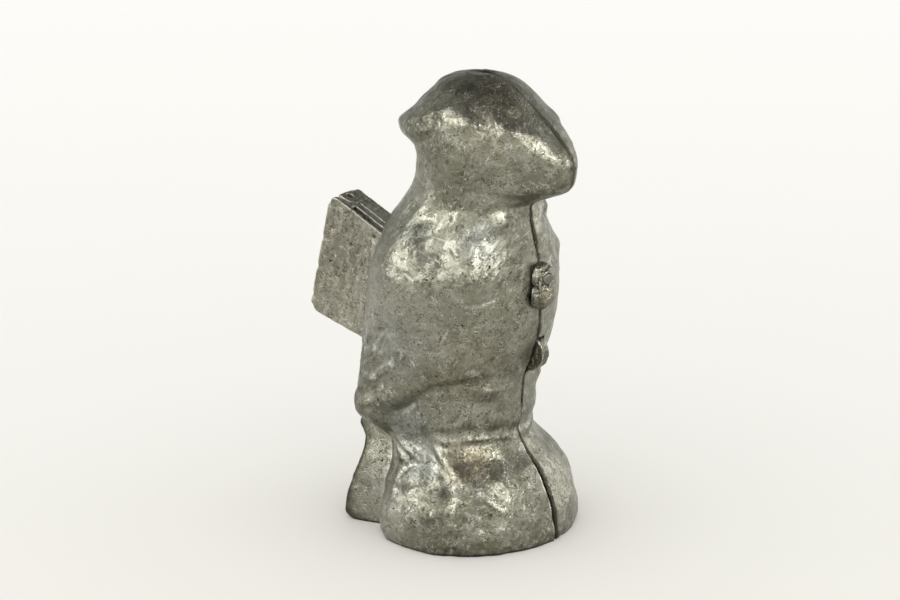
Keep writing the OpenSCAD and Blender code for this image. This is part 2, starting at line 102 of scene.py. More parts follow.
# ------------------------------------------------------------------ figure surface
# The levels of the CAD figure: height, reach to the front, reach to the back, half width, snout.
LEVELS = np.array([
    (0, 27.7, 25.5, 30.6, 0), (7, 26.7, 25.3, 30.5, 0), (13, 24.9, 23.8, 29, 0),
    (19, 21.9, 21.8, 26.2, 0), (25, 17, 21, 22.6, 0), (29, 14.4, 22.4, 20.8, 0),
    (34, 15, 25, 22, 0), (40, 15.4, 27.4, 23.2, 0), (46, 16.2, 28.6, 24.4, 0),
    (52, 18, 29.2, 25.4, 0), (60, 20.6, 29.4, 26.2, 0), (68, 21.3, 29, 27.6, 0),
    (76, 20.8, 28, 28, 0), (82, 19.8, 26.6, 26, 0), (88, 18.6, 24.2, 22.8, 0),
    (92.5, 17.8, 21.4, 19.8, 0), (95.5, 17.8, 19.4, 18.4, 0.4), (98, 18.4, 18, 18.1, 5),
    (101, 19.6, 16.8, 18.2, 10.2), (106, 20.8, 16, 18.6, 10.7), (111, 21.7, 16, 18.8, 8.5),
    (117, 21.7, 16.2, 18.2, 3.1), (122, 18.1, 15, 16.4, 1.1), (126, 14, 11.4, 12.8, 0.3),
    (128.6, 10, 8.4, 8.8, 0), (130, 5.4, 2.4, 4, 0)])
SNOUT_SPREAD = 26

# The CAD figure's swellings: angle from the front, height, spread in angle, spread in height,
# slope in height per degree, and how far each stands out.
SWELLS = [
    (26, 112, 16, 5, 0, 1), (180, 114.5, 54, 4.6, -0.045, 6.2), (100, 76, 38, 9, 0, 1.6),
    (126, 50, 32, 14, 0.1, 4.2), (134, 33.5, 25, 8.5, 0, 8)]

# Smaller swellings that only the casting has, in the same form.
LUMPS = [
    (72, 120.3, 14, 2.6, -0.02, 1.1),     # side of the cap
    (36, 118.3, 8, 2.2, 0.05, 1.1),       # brow
    (17, 116.4, 8, 2, 0, 0.5),
    (165, 111.2, 40, 2.6, -0.045, 1.4),   # blunt end of the brim
    (165, 119, 40, 2.6, -0.045, -0.5),
    (29, 106, 12, 6, 0, -0.6),            # hollow between snout and cheek
    (52, 108, 16, 6, 0, 0.5),             # cheek
    (84, 109, 12, 5, 0, 0.35),
    (31, 92, 13, 2.4, 0.02, 1.3),         # collar
    (69, 92.6, 8, 2.6, 0, 1.0),
    (51, 91.4, 5, 3.2, 0, -0.6),
    (101, 95.4, 10, 3.2, -0.1, 1.0),      # shoulder
    (86, 91, 6, 5, 0.2, -0.9),
    (88, 84.5, 12, 2.8, 0.5, 1.1),        # upper arm
    (71, 86.5, 6, 6.5, 0, -1.3),
    (50, 79, 9, 4, 0, 1.2),               # breast
    (62, 73, 10, 6, 0, -0.6),
    (31, 43.6, 14, 2.3, 0, 1.3),          # belt
    (66, 40, 10, 4, 0, -0.6),
    (34, 25.2, 24, 2.4, 0, -0.6),         # hollow under the welt of the bell
    (99, 25, 6, 2.2, 0.1, 0.8),           # knots of the bow beside the tail
    (111, 24, 7, 4, 0.2, 1.3),
    (104, 18.2, 6, 2.6, -0.1, 0.9),
    (116, 17.6, 5, 4, 0.1, 1.0),
    (86, 21.5, 7, 5.5, 0.1, -1.2),
    (124, 7, 15, 7, 0, 1.4),              # bulge of the bell beside the tail
    (78, 12.2, 10, 3.6, 0, 1.6),
    (46, 16, 20, 2.8, 0.33, 0.9),         # slanting fold
    (38, 22.6, 9, 2.6, 0.1, -0.6),
    (58, 9, 12, 4, 0, -0.5)]

# Creases and welts: a path of (angle, height) points, width, and depth (in, where negative).
CREASES = [
    ([(150, 110.6), (126, 112), (108, 114.5), (98, 119)], 1.7, -0.9),     # under the brim
    ([(116, 119.5), (91, 123.6)], 1.6, 0.6),                              # brim's front end
    ([(63, 118.2), (54, 117.6), (46, 118)], 0.4, -0.22),
    ([(66, 100.6), (39, 99.6), (18, 98.4)], 1.6, -0.5),                   # under the jaw
    ([(131, 58), (124, 53.5), (117, 56), (108, 61)], 1.5, -1.0),          # sleeve folds
    ([(136, 52), (126, 46), (114, 48), (102, 53)], 1.6, -1.1),
    ([(142, 43), (128, 38.5), (118, 41), (108, 45)], 1.5, -0.9),
    ([(132, 28), (120, 30.5), (106, 35), (92, 39.5)], 2.8, -2.0),         # under the cuff
    ([(82, 25), (75, 21.4), (69, 18), (63, 15)], 2.1, -0.85),             # fold of the bell
    ([(120, 21), (108, 21.6), (98, 23)], 1.1, -0.6),                      # folds of the bow
    ([(114, 27), (106, 24.4)], 1.0, -0.45),
    ([(114, 15.5), (104, 15), (96, 17)], 1.2, -0.5),
    ([(126, 30), (128, 22), (134, 14), (139, 6), (140, 0)], 2.2, -1.7),   # between bell and tail
    ([(70, 28.8), (48, 29.7), (22, 29.3), (4, 28)], 0.9, 0.38),           # welt on top of the bell
    ([(72, 31.6), (40, 32.6), (4, 30.6)], 1.5, -0.5),
    ([(68, 60), (64, 64)], 0.35, -0.35),                                  # scratches
    ([(35, 72), (47, 70.5), (53, 70.8)], 0.3, -0.3),
    ([(80, 105), (63, 108), (54, 107)], 0.3, -0.2),
    ([(101, 76), (92, 79), (86, 78)], 0.3, -0.25),
    ([(60, 84), (66, 86.5)], 0.3, -0.2),
    ([(40, 12), (47, 14.5), (52, 14)], 0.3, -0.2)]

# Lower edge of the coat: angle and height.
HEM = np.array([(0, 48), (50, 48), (70, 46.6), (82, 43.5), (92, 39.8), (112, 36), (125, 29.5),
                (140, 27), (180, 26.5)])
HEM_RISE = 1.6
HEM_EDGE = 2.1
TAIL_TURN = (143, 152)
TAIL_OUT = 10.8
TAIL_Z = (25, 35)


def smoothstep(x, a, b):
    u = np.clip((x - a) / (b - a), 0, 1)
    return u * u * (3 - 2 * u)


def reach(z, k):
    """Column k of the levels at height z, as a smooth curve through them."""
    h = LEVELS[:, 0]
    v = LEVELS[:, k]
    n = len(h)
    low = np.maximum(np.arange(n) - 1, 0)
    high = np.minimum(np.arange(n) + 1, n - 1)
    slope = (v[high] - v[low]) / (h[high] - h[low])
    i = np.clip(np.searchsorted(h, z, side="right") - 1, 0, n - 2)
    step = h[i + 1] - h[i]
    u = (z - h[i]) / step
    start, end = slope[i] * step, slope[i + 1] * step
    rise = v[i + 1] - v[i]
    return (v[i] + u * start + u ** 2 * (3 * rise - 2 * start - end)
            + u ** 3 * (start + end - 2 * rise))


def swell(t, z, rows):
    out = np.zeros_like(t)
    for t0, z0, wide, high, slope, height in rows:
        across = (t - t0) / wide
        up = (z - z0 - slope * (t - t0)) / high
        out += height * np.exp(-across ** 2 - up ** 2)
    return out


def broad_relief(t, z):
    """The relief that the CAD figure has, with a crisper hem."""
    drop = z - np.interp(t, HEM[:, 0], HEM[:, 1])
    rise = HEM_RISE * (0.45 + 0.55 * smoothstep(t, 55, 95))
    hem = rise * drop / np.sqrt(drop ** 2 + HEM_EDGE ** 2) * np.exp(-np.abs(drop) / 6)
    tail = ((TAIL_OUT - z / 15) * smoothstep(t, *TAIL_TURN) * (1 - smoothstep(z, *TAIL_Z)))
    snout = reach(z, 4) * np.exp(-(t / SNOUT_SPREAD) ** 2)
    return swell(t, z, SWELLS) + snout + hem + tail


def path_distance(t, z, path):
    """Distance in mm, along the skin, to a path of (angle, height) points."""
    best = np.full(t.shape, 1e9)
    x = t * MM_PER_DEGREE
    for (t0, z0), (t1, z1) in zip(path, path[1:]):
        ax, bx = t0 * MM_PER_DEGREE, t1 * MM_PER_DEGREE
        dx, dz = bx - ax, z1 - z0
        u = np.clip(((x - ax) * dx + (z - z0) * dz) / (dx * dx + dz * dz), 0, 1)
        best = np.minimum(best, np.hypot(x - ax - u * dx, z - z0 - u * dz))
    return best


def waves(t, z, rng, cell, count):
    """A smooth uneven field of about unit height, with features about cell mm across."""
    x = t * MM_PER_DEGREE
    field = np.zeros_like(t)
    for _ in range(count):
        turn = rng.uniform(0, 2 * math.pi)
        length = cell * rng.uniform(0.7, 1.6)
        phase = rng.uniform(0, 2 * math.pi)
        field += np.sin((x * math.cos(turn) + z * math.sin(turn)) * 2 * math.pi / length + phase)
    return field / math.sqrt(count / 2)


def fine_relief(t, z, side):
    """Lumps, creases, dents and pits of the worn casting."""
    rng = np.random.default_rng(11 if side == NEAR else 23)
    out = swell(t, z, LUMPS)
    for path, width, depth in CREASES:
        out += depth * np.exp(-(path_distance(t, z, path) / width) ** 2)
    out += 0.16 * waves(t, z, rng, 17, 10)
    out += 0.07 * waves(t, z, rng, 6, 14)
    out += 0.025 * waves(t, z, rng, 2.2, 18)
    x = t * MM_PER_DEGREE
    # Pits all over the skin, then chips along the foot.
    for count, top, deep in ((45, 120, 0.12), (40, 2.2, 0.4)):
        for _ in range(count):
            px, pz = rng.uniform(2, 75), rng.uniform(0, top)
            size = rng.uniform(0.5, 1.1)
            depth = rng.uniform(0.25, 1) * deep
            d = np.hypot(x - px, z - pz)
            out -= depth * np.exp(-(d / size) ** 2)
    # The foot is worn round, most of all under the tail.
    out -= np.clip(1 - z / 2.4, 0, 1) ** 2 * (0.8 + 1.5 * smoothstep(t, *TAIL_TURN))
    # The rim of each half stands a little proud of the skin behind it.
    seam = np.minimum(t, 180 - t) * MM_PER_DEGREE
    out += 0.1 * np.exp(-((seam - 0.9) / 0.7) ** 2)
    return out


# ------------------------------------------------------------------ meshes
def mesh_object(name, points_mm, faces, smooth=True):
    mesh = bpy.data.meshes.new(name)
    mesh.from_pydata((np.asarray(points_mm) * MM).tolist(), [], faces)
    mesh.validate()
    mesh.update()
    obj = bpy.data.objects.new(name, mesh)
    bpy.context.scene.collection.objects.link(obj)
    if smooth:
        mesh.shade_smooth()
    return obj


def box_uv(mesh):
    """Texture coordinates in mm, each face seen along the axis that it faces most."""
    loops = np.empty(len(mesh.loops), dtype=np.int32)
    mesh.loops.foreach_get("vertex_index", loops)
    points = np.empty(len(mesh.vertices) * 3)
    mesh.vertices.foreach_get("co", points)
    normals = np.empty(len(mesh.polygons) * 3)
    mesh.polygons.foreach_get("normal", normals)
    sizes = np.empty(len(mesh.polygons), dtype=np.int32)
    mesh.polygons.foreach_get("loop_total", sizes)
    facing = np.repeat(np.abs(normals.reshape(-1, 3)).argmax(axis=1), sizes)
    at = points.reshape(-1, 3)[loops] / MM
    pairs = np.array([(1, 2), (0, 2), (0, 1)])[facing]
    uv = np.take_along_axis(at, pairs, axis=1)
    layer = mesh.uv_layers.new(name="skin")
    layer.uv.foreach_set("vector", uv.astype(np.float32).ravel())


# The looks paint rubbed wear and a highlight on convex edges from this, and grime with painted shade in
# hollows.
def mark_wear_and_painted_light(mesh, rounds):
    """Stores how far each vertex stands out from its neighbours: 0.5 where flat, 1 on a sharp edge."""
    count = len(mesh.vertices)
    points = np.empty(count * 3)
    mesh.vertices.foreach_get("co", points)
    points = points.reshape(-1, 3)
    normals = np.empty(count * 3)
    mesh.vertex_normals.foreach_get("vector", normals)
    ends = np.empty(len(mesh.edges) * 2, dtype=np.int32)
    mesh.edges.foreach_get("vertices", ends)
    a, b = ends.reshape(-1, 2).T
    a, b = np.concatenate([a, b]), np.concatenate([b, a])
    step = points[b] - points[a]
    length = np.maximum(np.linalg.norm(step, axis=1), 1e-7)
    drop = -(step * normals.reshape(-1, 3)[a]).sum(axis=1) / length
    neighbours = np.maximum(np.bincount(a, minlength=count), 1)
    stands = np.bincount(a, drop, count) / neighbours
    for _ in range(rounds):
        stands = (stands + np.bincount(a, stands[b], count) / neighbours) / 2
    worn = mesh.attributes.new("worn", "FLOAT", "POINT")
    worn.data.foreach_set("value", np.clip(0.5 + stands, 0, 1).astype(np.float32))


def half_rows():
    """Heights of the skin's rows, closer together over the crown."""
    low = np.arange(0, CROWN_Z - 0.1, ROW_STEP)
    crown = TOP - (TOP - CROWN_Z) * (1 - np.linspace(0, 1, CROWN_ROWS)[:-1]) ** 2
    return np.concatenate([low, crown])


def seam_limits(z, side):
    """How far the skin keeps from the parting plane at the front and at the back."""
    front = np.full(z.shape, SEAM_GAP)
    back = np.full(z.shape, SEAM_GAP)
    if side == NEAR:
        front += FRONT_GAP * smoothstep(-z, *FRONT_GAP_Z)
    else:
        front = np.where((z > LUG_SLOT_Z[0]) & (z < LUG_SLOT_Z[1]), LUG_SLOT_X, front)
    back = np.where((z > SLOT_Z[0]) & (z < SLOT_Z[1]), SLOT_HALF, back)
    back = np.where((z > HINGE_Z[0]) & (z < HINGE_Z[1]), HINGE_HALF, back)
    return front[:, None], back[:, None]


def skin(t, z, inset, side):
    """Points of a half's skin: the outer one has relief, and one that is set in is plain."""
    f, b, w = reach(z, 1) - inset, reach(z, 2) - inset, reach(z, 3) - inset
    mid, deep = (b - f) / 2, (b + f) / 2
    a = np.radians(t)
    nx, ny = np.sin(a) / w, -np.cos(a) / deep
    size = np.hypot(nx, ny)
    out = np.zeros_like(t) if inset else broad_relief(t, z) + fine_relief(t, z, side)
    x = w * np.sin(a) + out * nx / size
    y = mid - deep * np.cos(a) + out * ny / size
    front, back = seam_limits(z[:, 0], side)
    x = np.maximum(x, np.where(t < 90, front, back))
    return np.stack([side * x, y, z], -1)


def bored_boss(base, axis, length, radius, bore, sides=40):
    """Points and faces of a boss with a bore right through, from base along axis 0 (X) or 2 (Z)."""
    rim = 0.3
    profile = [(bore, 0), (radius - rim, 0), (radius, rim), (radius, length - rim),
               (radius - rim, length), (bore + rim, length), (bore, length - rim)]
    points = []
    for k in range(sides):
        a = 2 * math.pi * k / sides
        for r, along in profile:
            c, s = r * math.cos(a), r * math.sin(a)
            spot_at = (along, c, s) if axis == 0 else (c, s, along)
            points.append([base[i] + spot_at[i] for i in range(3)])
    faces = []
    n = len(profile)
    for k in range(sides):
        for i in range(n):
            a, b = k * n, (k + 1) % sides * n
            faces.append((a + i, b + i, b + (i + 1) % n, a + (i + 1) % n))
    return np.array(points), faces


def bosses(side):
    """The bosses inside a half: for the dowels, and in the far half for the screws."""
    length = DOWEL_BOSS_L - SEAM_GAP
    if side == NEAR:
        bore = DOWEL_R + DOWEL_PLAY
        return [bored_boss((-DOWEL_BOSS_L, y, z), 0, length, DOWEL_BOSS_R, bore) for y, z in DOWELS]
    bore = DOWEL_R + DOWEL_FIT
    made = [bored_boss((SEAM_GAP, y, z), 0, length, DOWEL_BOSS_R, bore) for y, z in DOWELS]
    bore = SCREW_R + SCREW_FIT
    start, end = FRAME_BOSS_X
    made += [bored_boss((start, y, z), 0, end - start, BOSS_R, bore) for y, z in FRAME_SCREWS]
    inset = WALL + BOSS_R
    f, b, w = (LEVELS[0][k] - inset for k in (1, 2, 3))
    for turn in FOOT_SCREW_TURNS:
        a = math.radians(turn)
        place = (w * math.sin(a), (b - f) / 2 - (b + f) / 2 * math.cos(a), PLATE_TOP)
        made.append(bored_boss(place, 2, FOOT_BOSS_L, BOSS_R, bore))
    return made


def half_shell(side, name):
    """One hollow half: outer skin, inner skin, the faces that join them, and the bosses inside."""
    rows = half_rows()
    turns = np.linspace(0, 180, COLUMNS)
    t, z = np.meshgrid(turns, rows)
    n, m = t.shape
    outer = skin(t, z, 0.0, side).reshape(-1, 3)
    inner = skin(t, z * (TOP - WALL) / rows[-1], WALL, side).reshape(-1, 3)
    crown = [[side * SEAM_GAP, -2, TOP], [side * SEAM_GAP, -2, TOP - WALL]]
    points = np.concatenate([outer, inner, crown])
    shift = n * m
    faces = []
    for i in range(n - 1):
        for j in range(m - 1):
            q = (i * m + j, i * m + j + 1, (i + 1) * m + j + 1, (i + 1) * m + j)
            faces.append(q)
            faces.append(tuple(shift + k for k in reversed(q)))
    for i in range(n - 1):
        a, b = i * m, (i + 1) * m
        faces.append((shift + b, shift + a, a, b))
        a, b = a + m - 1, b + m - 1
        faces.append((b, a, shift + a, shift + b))
    for j in range(m - 1):
        faces.append((j + 1, j, shift + j, shift + j + 1))
    top = (n - 1) * m
    apex, ceiling = 2 * shift, 2 * shift + 1
    for j in range(m - 1):
        faces.append((top + j, top + j + 1, apex))
        faces.append((shift + top + j + 1, shift + top + j, ceiling))
    faces.append((apex, ceiling, shift + top, top))
    faces.append((ceiling, apex, top + m - 1, shift + top + m - 1))
    if side == FAR:
        faces = [tuple(reversed(q)) for q in faces]
    for boss_points, boss_faces in bosses(side):
        first = len(points)
        points = np.concatenate([points, boss_points])
        faces += [tuple(first + k for k in q) for q in boss_faces]
    return mesh_object(name, points, faces)


def softened(node, name, voxel, rounds, rough, nicks=()):
    """A copy of a CAD node's mesh with worn edges, nicks and an uneven cast surface."""
    source = frame["nodes"][node]
    obj = bpy.data.objects.new(name, source.data.copy())
    bpy.context.scene.collection.objects.link(obj)
    remesh = obj.modifiers.new("voxels", "REMESH")
    remesh.mode = "VOXEL"
    remesh.voxel_size = voxel * MM
    smooth = obj.modifiers.new("wear", "SMOOTH")
    smooth.factor = 0.5
    smooth.iterations = rounds
    bpy.context.view_layer.update()
    evaluated = obj.evaluated_get(bpy.context.evaluated_depsgraph_get())
    worn = bpy.data.meshes.new_from_object(evaluated)
    obj.modifiers.clear()
    obj.data = worn
    count = len(worn.vertices)
    p = np.empty(count * 3)
    worn.vertices.foreach_get("co", p)
    p = p.reshape(-1, 3)
    normal = np.empty(count * 3)
    worn.vertex_normals.foreach_get("vector", normal)
    rng = np.random.default_rng(len(node))
    field = np.zeros(count)
    for cell in DENT_SIZES:
        for _ in range(8):
            direction = rng.normal(size=3)
            direction /= np.linalg.norm(direction)
            field += cell * np.sin(p @ direction / MM * 2 * math.pi / cell + rng.uniform(0, 6.28))
    field *= rough * MM / 6
    for centre, size in nicks:
        away = np.linalg.norm(p / MM - centre, axis=1) / size
        field -= NICK_DEPTH * size * MM * np.exp(-away ** 2)
    p += normal.reshape(-1, 3) * np.minimum(field, 0.5 * rough * MM)[:, None]
    worn.vertices.foreach_set("co", p.ravel())
    worn.update()
    worn.shade_smooth()
    return obj


def hinge_nicks(side):
    """Places and sizes of the nicks in a leaf's face and outer edges."""
    face = side * HINGE_BLOCK_HALF
    top, bottom = np.array(HINGE_EDGE)
    # Nicks down the outer edge: how far down, as a part of its length, and size.
    down_the_edge = ((0.01, 1.6), (0.07, 0.8), (0.38, 0.9), (0.63, 0.8), (0.875, 0.9), (0.99, 1.4))
    nicks = [((face, *(top + (bottom - top) * down)), size) for down, size in down_the_edge]
    return nicks + [((face, 39, 76), 0.8), ((face, 31, 79.5), 1.1), ((face, 46, 70), 0.5)]


# ------------------------------------------------------------------ materials
class Look:
    """A material with short helpers for its nodes."""

    def __init__(self, name):
        self.material = bpy.data.materials.new(name)
        self.material.use_nodes = True
        self.tree = self.material.node_tree
        self.shader = self.tree.nodes["Principled BSDF"]
        coordinates = self.node("ShaderNodeTexCoord")
        self.place = coordinates.outputs["Object"]
        self.skin = coordinates.outputs["UV"]

    def node(self, kind, **values):
        made = self.tree.nodes.new(kind)
        for key, value in values.items():
            setattr(made, key, value)
        return made

    def link(self, a, b):
        self.tree.links.new(a, b)

    def stretch(self, scale):
        mapping = self.node("ShaderNodeMapping")
        mapping.inputs["Scale"].default_value = scale
        self.link(self.place, mapping.inputs["Vector"])
        return mapping.outputs["Vector"]

    def noise(self, per_metre, detail=4, rough=0.6, warp=0.0, place=None):
        made = self.node("ShaderNodeTexNoise")
        made.inputs["Scale"].default_value = per_metre
        made.inputs["Detail"].default_value = detail
        made.inputs["Roughness"].default_value = rough
        made.inputs["Distortion"].default_value = warp
        self.link(place or self.place, made.inputs["Vector"])
        return made.outputs["Fac"]

    def ramp(self, value, *stops):
        made = self.node("ShaderNodeValToRGB")
        band = made.color_ramp
        while len(band.elements) < len(stops):
            band.elements.new(0.5)
        for element, (at, tone) in zip(band.elements, stops):
            element.position = at
            element.color = (*tone, 1) if isinstance(tone, tuple) else (tone, tone, tone, 1)
        self.link(value, made.inputs["Fac"])
        return made.outputs["Color"]

    def mix(self, fac, a, b, blend="MIX"):
        made = self.node("ShaderNodeMix", data_type="RGBA", blend_type=blend)
        self.feed(made.inputs["Factor"], fac)
        self.feed(made.inputs["A"], a)
        self.feed(made.inputs["B"], b)
        return made.outputs["Result"]

    def feed(self, socket, value):
        if isinstance(value, bpy.types.NodeSocket):
            self.link(value, socket)
        elif isinstance(value, tuple):
            socket.default_value = (*value, 1)
        else:
            socket.default_value = value

    def sums(self, a, b, operation="ADD"):
        made = self.node("ShaderNodeMath", operation=operation)
        self.feed(made.inputs[0], a)
        self.feed(made.inputs[1], b)
        return made.outputs["Value"]

    def bump(self, height, distance_mm, strength=1.0, under=None):
        made = self.node("ShaderNodeBump")
        made.inputs["Distance"].default_value = distance_mm * MM
        made.inputs["Strength"].default_value = strength
        self.link(height, made.inputs["Height"])
        if under:
            self.link(under, made.inputs["Normal"])
        return made.outputs["Normal"]

    def edges(self):
        """Bright where the mesh is convex, as on a worn edge."""
        pointed = self.node("ShaderNodeNewGeometry").outputs["Pointiness"]
        return self.ramp(pointed, (0.5, 0), (0.56, 1))

    def worn(self):
        """What mark_wear_and_painted_light() stored."""
        return self.node("ShaderNodeAttribute", attribute_name="worn").outputs["Fac"]


def strokes(look, degrees, length_mm, width_mm, seed):
    """Short straight marks in one direction along the skin, as an uneven field about 0.5."""
    mapping = look.node("ShaderNodeMapping")
    mapping.inputs["Location"].default_value = (seed, seed, seed)
    mapping.inputs["Rotation"].default_value = (0, 0, math.radians(degrees))
    look.link(look.skin, mapping.inputs["Vector"])
    stretch = look.node("ShaderNodeVectorMath", operation="MULTIPLY")
    look.link(mapping.outputs["Vector"], stretch.inputs[0])
    stretch.inputs[1].default_value = (1 / length_mm, 1 / width_mm, 1)
    return look.noise(1, 1, 0.5, 0.0, stretch.outputs["Vector"])


def worms(look, size_mm, thick, broken):
    """Fine broken winding lines, 1 on the line."""
    field = look.sums(look.noise(1000 / size_mm, 2, 0.55, 0.8), 0.5, "SUBTRACT")
    line = look.ramp(look.sums(field, 0.0, "ABSOLUTE"), (thick / 2, 1), (thick, 0))
    pieces = look.ramp(look.noise(600 / size_mm, 2), broken, (broken[0] + 0.07, 1))
    return look.mix(1.0, line, pieces, "MULTIPLY")


def spot(look, centre_mm, radius_mm):
    """1 near a place on the object, fading to 0 at the radius."""
    away = look.node("ShaderNodeVectorMath", operation="DISTANCE")
    look.link(look.place, away.inputs[0])
    away.inputs[1].default_value = [c * MM for c in centre_mm]
    near = look.sums(away.outputs["Value"], 1 / (radius_mm * MM), "MULTIPLY")
    return look.ramp(near, (0.35, 1), (1.0, 0))


def cast_metal(name, light, mid, dark, rough, stains_and_sheen=(), streaks=None):
    """Worn cast pewter: patches of patina, fine broken speckle, pits, scratches, rubbed edges with a painted
    highlight, and grime with painted shade.

    A stain is a place, a radius, a colour and how strong it is; the pale grey ones are painted reflection.
    The streaks are long marks in one direction, given in degrees.
    """
    look = Look(name)
    patches = look.noise(50, 4, 0.6, 0.5)
    cloud = look.noise(190, 6, 0.72, 0.6)
    grain = look.noise(800, 4, 0.7, 0.5)
    pits = look.mix(1.0, look.ramp(look.noise(900, 1), (0.7, 0), (0.75, 1)),
                    look.ramp(look.noise(90, 2), (0.48, 0), (0.56, 1)), "MULTIPLY")
    brushed = strokes(look, 25, 2.4, 0.24, 1)
    for k, degrees in enumerate((80, 140, 165)):
        brushed = look.sums(brushed, strokes(look, degrees, 2.0, 0.26, 3 + k))
    brushed = look.sums(brushed, 0.25, "MULTIPLY")
    marks = look.ramp(strokes(look, 62, 7, 0.3, 11), (0.72, 0), (0.77, 1))
    marks = look.mix(1.0, marks, look.ramp(strokes(look, -18, 6, 0.3, 15), (0.73, 0), (0.78, 1)), "LIGHTEN")
    cracks = look.mix(1.0, worms(look, 1.5, 0.04, (0.5, 0)), worms(look, 2.8, 0.025, (0.52, 0)), "LIGHTEN")
    scuffs = worms(look, 1.9, 0.03, (0.52, 0))

    tone = look.mix(look.ramp(patches, (0.4, 0), (0.62, 1)), dark, mid)
    tone = look.mix(look.ramp(cloud, (0.5, 0), (0.75, 0.6)), tone, light)
    tone = look.mix(look.ramp(cloud, (0.3, 0.6), (0.44, 0)), tone, dark)
    # Stains of patina, and pale patches of painted reflection, each broken up by the clouds.
    for centre, radius, colour, amount in stains_and_sheen:
        broken = look.ramp(cloud, (0.35, amount), (0.62, 0.25 * amount))
        tone = look.mix(look.mix(1.0, spot(look, centre, radius), broken, "MULTIPLY"), tone, colour)
    if streaks is not None:
        run = strokes(look, streaks, 9, 1.5, 21)
        tone = look.mix(look.ramp(run, (0.3, 0.5), (0.5, 0)), tone, dark)
        tone = look.mix(look.ramp(run, (0.5, 0), (0.7, 0.35)), tone, light)
    tone = look.mix(look.ramp(grain, (0.34, 0.35), (0.47, 0)), tone, dark)
    tone = look.mix(look.ramp(brushed, (0.42, 0.6), (0.48, 0)), tone, dark)
    tone = look.mix(look.ramp(brushed, (0.54, 0), (0.62, 0.35)), tone, light)
    tone = look.mix(look.mix(1.0, cracks, (0.65, 0.65, 0.65), "MULTIPLY"), tone, (0.07, 0.062, 0.04))
    tone = look.mix(look.mix(1.0, scuffs, (0.6, 0.6, 0.6), "MULTIPLY"), tone, light)
    worn = look.worn()
    # Paler on convex edges: rubbed wear, and a painted highlight along the rims of the seam.
    tone = look.mix(look.ramp(worn, (0.53, 0), (0.62, 0.8)), tone, light)
    # Near black in hollows and creases: grime, and painted shade.
    tone = look.mix(look.ramp(worn, (0.42, 0.85), (0.485, 0)), tone, (0.035, 0.03, 0.018))
    tone = look.mix(pits, tone, (0.03, 0.026, 0.018))
    tone = look.mix(look.mix(1.0, marks, (0.7, 0.7, 0.7), "MULTIPLY"), tone, light)
    look.link(tone, look.shader.inputs["Base Color"])

    shine = look.sums(look.ramp(cloud, (0.35, rough + 0.07), (0.68, rough - 0.04)),
                      look.ramp(grain, (0.35, 0.1), (0.6, 0.0)))
    look.link(shine, look.shader.inputs["Roughness"])
    look.shader.inputs["Metallic"].default_value = 1.0
    normal = look.bump(look.noise(330, 5, 0.6, 0.4), 0.2, 0.5)
    normal = look.bump(grain, 0.12, 0.7, normal)
    normal = look.bump(brushed, 0.23, 1.0, normal)
    normal = look.bump(look.sums(1.0, pits, "SUBTRACT"), 0.1, 0.8, normal)
    normal = look.bump(marks, 0.03, 0.5, normal)
    normal = look.bump(look.sums(1.0, cracks, "SUBTRACT"), 0.09, 0.9, normal)
    look.link(normal, look.shader.inputs["Normal"])
    return look.material


def sheet_metal(name, light, dark, rough, line_scale=(60, 60, 1400)):
    """Rolled or turned metal with fine drawn lines, tarnish and small spots."""
    look = Look(name)
    lines = look.noise(1, 3, 0.6, 0.0, look.stretch(line_scale))
    cloud = look.noise(160, 5, 0.65, 0.5)
    spots = look.ramp(look.noise(700, 3, 0.6), (0.62, 0), (0.72, 1))
    tone = look.mix(look.ramp(cloud, (0.38, 0.6), (0.62, 0)), light, dark)
    tone = look.mix(look.ramp(lines, (0.45, 0.25), (0.6, 0)), tone, dark)
    tone = look.mix(spots, tone, dark)
    tone = look.mix(look.edges(), tone, light)
    look.link(tone, look.shader.inputs["Base Color"])
    look.link(look.ramp(cloud, (0.35, rough + 0.15), (0.65, rough)), look.shader.inputs["Roughness"])
    look.shader.inputs["Metallic"].default_value = 1.0
    normal = look.bump(lines, 0.02, 0.4)
    normal = look.bump(look.noise(500, 4), 0.04, 0.4, normal)
    look.link(normal, look.shader.inputs["Normal"])
    return look.material


def rusty_metal(name):
    """Iron under a rough brown crust of rust, rubbed on its edges."""
    look = Look(name)
    cloud = look.noise(420, 6, 0.7, 0.7)
    crust = ((0.3, (0.025, 0.015, 0.008)), (0.5, (0.07, 0.036, 0.016)), (0.68, (0.15, 0.085, 0.04)))
    tone = look.ramp(cloud, *crust)
    tone = look.mix(look.edges(), tone, (0.3, 0.25, 0.18))
    look.link(tone, look.shader.inputs["Base Color"])
    look.link(look.ramp(cloud, (0.3, 0.45), (0.7, 0.85)), look.shader.inputs["Roughness"])
    look.shader.inputs["Metallic"].default_value = 0.6
    look.link(look.bump(look.noise(900, 5, 0.7), 0.1, 0.7), look.shader.inputs["Normal"])
    return look.material


BROWN = (0.17, 0.125, 0.07)
BLUISH = (0.2, 0.215, 0.22)
